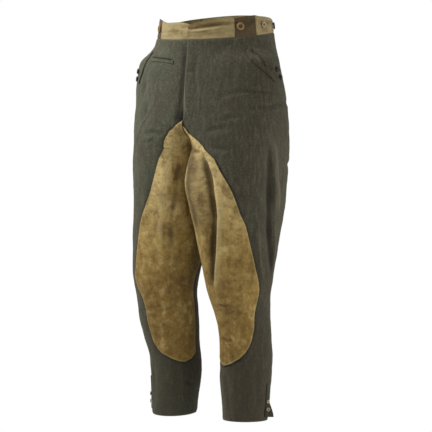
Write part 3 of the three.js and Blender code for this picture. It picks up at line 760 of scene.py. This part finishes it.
def band_cotton(name, base, dark, pale):
    made, tree, shader = new_material(name, Roughness=0.9, Sheen_Weight=0.1, Specular_IOR_Level=0.3)
    where = add_node(tree, "ShaderNodeTexCoord").outputs["Object"]
    cloth = add_node(tree, "ShaderNodeUVMap", uv_map="cloth").outputs["UV"]
    stain = grain(tree, where, 0.022, 5.0, 0.6, stretch=(2, 2, 1))
    tint = blend(tree, remap(tree, stain, 0.42, 0.7, 0.0, 0.7), base, dark)
    tint = blend(tree, remap(tree, grain(tree, where, 0.006, 3.0), 0.55, 0.75, 0.0, 0.4), tint, pale)
    # Painted shade in the creases, and a painted highlight on their ridges.
    tint = blend(tree, remap(tree, attribute(tree, "hollow"), 0.3, 2.6, 0.0, 0.75), tint, dark)
    tint = blend(tree, remap(tree, attribute(tree, "hollow"), -0.3, -1.6, 0.0, 0.5), tint, pale)
    tint = blend(tree, remap(tree, attribute(tree, "edge"), 1.8, 0.4, 0.0, 0.35), tint, dark)
    # The marks add painted shade along the creases, beside the stitches and the bar tack.
    tint = blend(tree, remap(tree, attribute(tree, "mark"), 0.05, 0.95, 0.0, 0.9), tint, dark)
    tint = blend(tree, remap(tree, attribute(tree, "mark"), -0.05, -0.95, 0.0, 0.8), tint, pale)
    tree.links.new(tint, shader.inputs["Base Color"])
    threads = add_node(tree, "ShaderNodeSeparateXYZ", {"Vector": cloth})
    turn = 2 * math.pi / COTTON_THREAD
    over = count(tree, "SINE", count(tree, "MULTIPLY", threads.outputs["X"], turn))
    up = count(tree, "SINE", count(tree, "MULTIPLY", threads.outputs["Y"], turn))
    bumps(tree, shader, count(tree, "MULTIPLY", over, up), 0.15 * MM)
    return made


PALE_COTTON = band_cotton("unbleached_cotton", colour("9f8e63"), colour("6a5732"), colour("c0b184"))
BROWN_COTTON = band_cotton("brown_cotton_twill", colour("584830"), colour("362a1a"), colour("75624a"))

# %% [markdown]
# A sheet becomes cloth once it has a thickness. Solidify adds it inwards, so that the outer
# face stays on the solid's outer face. Every piece then takes its finish, hides the node that
# it stands for, and moves with the root body.

# %% Finish a cloth piece
WOOL_THICK = 1.8
HIDE_THICK = 1.5
STRIP_THICK = 1.4
SOFT_ANGLE = math.radians(50)


def finish_cloth(piece, node, material, thick):
    piece.data.materials.append(material)
    activate(piece)
    wall = piece.modifiers.new("wall", "SOLIDIFY")
    wall.thickness = thick * MM
    wall.offset = -1
    bpy.ops.object.modifier_apply(modifier="wall")
    bpy.ops.object.shade_smooth_by_angle(angle=SOFT_ANGLE)
    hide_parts(node)
    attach(piece, "root")
    faces = sum(len(p.vertices) - 2 for p in piece.data.polygons)
    print(piece.name, faces, "triangles")


# %% [markdown]
# ## The strapping
# The leather lies on the wool, so it gets the same folds. It is shaped before the wool,
# because the wool then gives way under it.

# %% Leather strapping
HIDE_LEVELS = 3
covers = {}

for side in SIDES:
    for part in ("front", "back"):
        hide = outer_face(f"strapping_{part}_{side}", side, f"leather_{part}_{side}", HIDE_LEVELS)
        press_folds(hide, side, part, "leather", 0.0, 1.1)
        settle_fork(hide)
        write_weave_map(hide, side, part)
        covers[part, side] = BVHTree.FromObject(hide, bpy.context.evaluated_depsgraph_get())
        finish_cloth(hide, f"strapping_{part}_{side}", SUEDE, HIDE_THICK)

# %% [markdown]
# ## The legs
# A front and a back panel make each leg, joined at the side seam and at the inseam. The
# seams are pinched in a little, as a pressed seam is.

# %% Leg panels
PANEL_LEVELS = 3

for side in SIDES:
    for part in ("front", "back"):
        panel = outer_face(f"{part}_{side}", side, f"wool_{part}_{side}", PANEL_LEVELS)
        press_folds(panel, side, part, "wool", 0.9, 1.1)
        settle_fork(panel)
        give_way(panel, covers[part, side])
        write_weave_map(panel, side, part)
        finish_cloth(panel, f"{part}_{side}", WOOL, WOOL_THICK)

# %% [markdown]
# ## The waistband
# The band is sewn from short pieces of cotton. Its left front has a fold along its length,
# where the upper half has rolled in, and both fronts pucker where they meet.

# %% Waistband
BAND_LEVELS = 3
BAND_THICK = 2.4
BAND_FOLDS = [
    ("left", 3.2, 3.6, 1, [(-4, -98), (-3, -84), (2, -66), (7, -46)]),
    ("left", 1.6, 2.6, -1, [(-14, -96), (-13, -80), (-9, -62)]),
    ("left", 1.8, 2.6, 1, [(12, -96), (6, -92), (2, -84)]),
    ("right", 2.2, 3.0, 1, [(11, -97), (0, -94), (-9, -92)]),
    ("right", 1.0, 2.6, 1, [(-7, -40), (-8, -62), (-9, -84)]),
    ("left", 1.2, 3.0, -1, [(-16, -95), (-11, -90), (-5, -86)]),
    ("left", 1.0, 3.0, 1, [(10, -92), (5, -84), (4, -74)]),
    ("left", 0.9, 3.0, 1, [(-20, -78), (-16, -70), (-17, -60)]),
    ("right", 1.4, 3.5, 1, [(6, -94), (0, -86), (-2, -76)]),
    ("right", 0.9, 3.0, -1, [(-14, -92), (-16, -82), (-14, -70)]),
    ("left", 1.0, 4.0, 1, [(4, 8), (8, 24), (12, 44)]),
    ("right", 1.0, 4.0, 1, [(4, 12), (8, 28), (12, 50)]),
    ("left", 0.8, 4.0, 1, [(14, 62), (17, 76), (16, 88)]),
    ("right", 0.8, 4.0, 1, [(14, 66), (17, 78), (15, 86)]),
]


def press_band(piece, side):
    points = get_points(piece)
    height, angle, radius = cloth_place(points, side, "band")
    sunk = np.zeros(len(points))
    for fold in BAND_FOLDS:
        if fold[0] == side:
            sunk += fold_depth(height, angle, radius, fold)
    edge = edge_distance(piece)
    uneven = 0.5 * rumple(points, SIDES[side] + 9, 12)
    pinch = 0.5 * np.exp(-((edge / 2.0) ** 2))
    set_points(piece, points - get_normals(piece) * ((sunk + uneven + pinch) * MM)[:, None])
    write_attribute(piece, "hollow", sunk + uneven)
    write_attribute(piece, "edge", edge)
    write_marks(piece, side, "cotton", height, angle, radius)


BAND_CUT = {"front": (0.115, 0.044), "side": (0.056, 0.050), "back": (0.246, 0.040)}
for side in SIDES:
    for part, flat in BAND_CUT.items():
        node = f"band_{part}_{side}"
        piece = outer_face(node, side, f"waistband_{part}_{side}", BAND_LEVELS)
        press_band(piece, side)
        write_weave_map(piece, side, "band")
        material, slot = (BROWN_COTTON, "brown_cloth") if part == "side" else (PALE_COTTON, "cotton")
        finish_cloth(piece, node, material, BAND_THICK)

# %% [markdown]
# ## Welts and plackets
# Narrow strips of the same wool: the welts of the slit pocket and of the slanted side
# pockets, and the buttoned strips at the calves.

# %% Welts and plackets
STRIP_CUT = {
    "slit_pocket_welt": (0.084, 0.011),
    "side_pocket_welt": (0.104, 0.011),
    "calf_placket": (0.079, 0.018),
}
for node in sorted(NODES):
    kind = node.rsplit("_", 1)[0]
    if kind not in STRIP_CUT:
        continue
    side = node.rsplit("_", 1)[1]
    strip = outer_face(node, side, f"sewn_{node}", 2)
    points = get_points(strip)
    edge = edge_distance(strip)
    uneven = 0.3 * rumple(points, 4, 9)
    rounded = 0.5 * np.exp(-((edge / 1.2) ** 2))
    set_points(strip, points - get_normals(strip) * ((uneven + rounded) * MM)[:, None])
    write_attribute(strip, "hollow", uneven)
    write_attribute(strip, "edge", np.full(len(points), 20.0))
    write_attribute(strip, "mark", np.zeros(len(points)))
    write_weave_map(strip, side, "front")
    finish_cloth(strip, node, WOOL, STRIP_THICK)

# %% [markdown]
# ## Buttons
# Each button is turned on a lathe: a flat disc with a rounded rim and a dished middle, sewn
# on with a cross of thread. The front pair on the band are tan rings with a dark middle.

# %% Buttons
def button_stuff(name, code, gloss):
    made, tree, shader = new_material(name, Roughness=gloss, Specular_IOR_Level=0.45)
    where = add_node(tree, "ShaderNodeTexCoord").outputs["Object"]
    clouds = grain(tree, where, 0.004, 4.0, 0.6)
    base = colour(code)
    worn = tuple(0.55 * c for c in base[:3]) + (1.0,)
    tint = blend(tree, remap(tree, clouds, 0.4, 0.7, 0.0, 0.7), base, worn)
    tree.links.new(tint, shader.inputs["Base Color"])
    return made


HORN = button_stuff("dark_horn", "2e261d", 0.4)
BONE = button_stuff("worn_bone", "a3967a", 0.55)
TAN = button_stuff("tan_vegetable_ivory", "8f703c", 0.5)
THREAD = button_stuff("waxed_sewing_thread", "4a4434", 0.8)


def button_frame(node):
    """Centre, outward axis, radius and thickness of a button node."""
    co = np.array([v.co[:] for v in NODES[node].data.vertices])
    centre = (co.max(0) + co.min(0)) / 2
    axis = np.linalg.svd(co - co.mean(0), full_matrices=False)[2][2]
    leg = 1 if "_left" in node else -1
    x, y = leg_middle(centre[2] / MM)
    outwards = np.array([centre[0] - leg * x * MM, centre[1] - y * MM, 0])
    axis = axis * np.sign(axis @ outwards)
    along = (co - centre) @ axis
    radius = np.linalg.norm(co - centre - np.outer(along, axis), axis=1).max()
    return Vector(centre), Vector(axis), float(radius), float(along.max() - along.min())


def turned(profile, steps=40):
    """Vertices and faces of a profile of (radius, height) turned round Z, closed at both ends."""
    turns = np.arange(steps) * 2 * math.pi / steps
    verts = [(r * math.cos(t), r * math.sin(t), z) for r, z in profile for t in turns]
    faces = []
    for i in range(len(profile) - 1):
        for j in range(steps):
            k = (j + 1) % steps
            faces.append((i * steps + j, i * steps + k, (i + 1) * steps + k, (i + 1) * steps + j))
    faces.append(tuple(range(steps))[::-1])
    faces.append(tuple(range((len(profile) - 1) * steps, len(profile) * steps)))
    return verts, faces


# Profiles as shares of the button's radius and of half its thickness.
BUTTON_RIM = [(0.80, -1), (0.94, -0.8), (1.0, -0.2), (0.98, 0.5)]
BUTTON_RIM += [(0.88, 0.95), (0.76, 1.0), (0.62, 0.72), (0.5, 0.45)]
BUTTON_DISH = [(0.5, 0.45), (0.42, 0.42), (0.2, 0.38), (0.1, 0.38)]
THREAD_RUN = [(-1, 0), (0, 1), (1, 0), (0, -1)]


def make_button(node, body, middle):
    centre, axis, radius, thick = button_frame(node)
    half = thick / 2
    verts, faces, kinds = [], [], []
    for profile, kind in ((BUTTON_RIM, 0), (BUTTON_DISH, 1)):
        new, joined = turned([(r * radius, z * half) for r, z in profile])
        faces += [tuple(i + len(verts) for i in face) for face in joined]
        kinds += [kind] * len(joined)
        verts += new
    for turn in (45, 135):
        spin = Matrix.Rotation(math.radians(turn), 4, "Z")
        length, width, lift = 0.3 * radius, 0.055 * radius, 0.72 * half
        new = []
        for t in np.linspace(-1, 1, 7):
            z = lift * (1 - 0.5 * t * t)
            new += [spin @ Vector((t * length, a * width, z + b * width)) for a, b in THREAD_RUN]
        base = len(verts)
        for i in range(6):
            for j in range(4):
                k = (j + 1) % 4
                faces.append((base + i * 4 + j, base + i * 4 + k, base + i * 4 + 4 + k, base + i * 4 + 4 + j))
        faces += [(base + 3, base + 2, base + 1, base), (base + 24, base + 25, base + 26, base + 27)]
        kinds += [2] * 26
        verts += [tuple(v) for v in new]
    mesh = bpy.data.meshes.new(f"turned_{node}")
    mesh.from_pydata(verts, [], faces)
    for material in (body, middle, THREAD):
        mesh.materials.append(material)
    mesh.polygons.foreach_set("material_index", kinds)
    mesh.transform(Matrix.Translation(centre) @ axis.to_track_quat("Z", "Y").to_matrix().to_4x4())
    piece = bpy.data.objects.new(f"turned_{node}", mesh)
    bpy.context.scene.collection.objects.link(piece)
    activate(piece)
    bpy.ops.object.shade_smooth_by_angle(angle=math.radians(40))
    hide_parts(node)
    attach(piece, "root")


for node in sorted(NODES):
    if "_button_" not in node:
        continue
    if node.startswith("band_button_front"):
        make_button(node, TAN, HORN)
    elif node.startswith(("band_button_back", "pocket_button")):
        make_button(node, HORN, HORN)
    else:
        make_button(node, BONE, BONE)

# %% [markdown]
# ## Light
# A pale floor lies well below the hems. The key lamp stands high and near on the wearer's
# right, so its light falls off down the legs; a lower lamp on the other side lifts the outer
# thigh and calf. The surround looks white but lights the cloth at less than half that.

# %% Stage and light
FLOOR_HEIGHT = -1.2
FLOOR_RADIUS = 1.3
SURROUND_LIGHT = 0.36
bpy.ops.mesh.primitive_circle_add(
    vertices=96, radius=FLOOR_RADIUS, fill_type="NGON", location=(0, 0, FLOOR_HEIGHT)
)
floor = bpy.context.object
floor.name = "studio_floor"
floor_paint, _, floor_shader = new_material("pale_floor_paint", Roughness=0.8)
floor_shader.inputs["Base Color"].default_value = colour("efeeec")
floor.data.materials.append(floor_paint)


def soft_lamp(name, azimuth, height, distance, size, power):
    """A square lamp that looks at the middle of the breeches."""
    turn = math.radians(azimuth)
    bpy.ops.object.light_add(
        type="AREA", location=(distance * math.sin(turn), -distance * math.cos(turn), height)
    )
    lamp = bpy.context.object
    lamp.name = name
    lamp.data.size = size
    lamp.data.energy = power
    towards = Vector((0, 0, -0.45)) - lamp.location
    lamp.rotation_euler = towards.to_track_quat("-Z", "Y").to_euler()
    return lamp


soft_lamp("key_lamp", -50, 0.9, 1.35, 0.9, 37)
soft_lamp("fill_lamp", 92, -0.55, 2.4, 1.4, 31)

world = bpy.data.worlds.new("studio")
bpy.context.scene.world = world
world.use_nodes = True
tree = world.node_tree
backdrop = tree.nodes["Background"]
backdrop.inputs["Color"].default_value = (1, 1, 1, 1)
seen = add_node(tree, "ShaderNodeLightPath").outputs["Is Camera Ray"]
tree.links.new(remap(tree, seen, 0.0, 1.0, SURROUND_LIGHT, 1.0), backdrop.inputs["Strength"])
bpy.context.scene.view_settings.view_transform = "Standard"
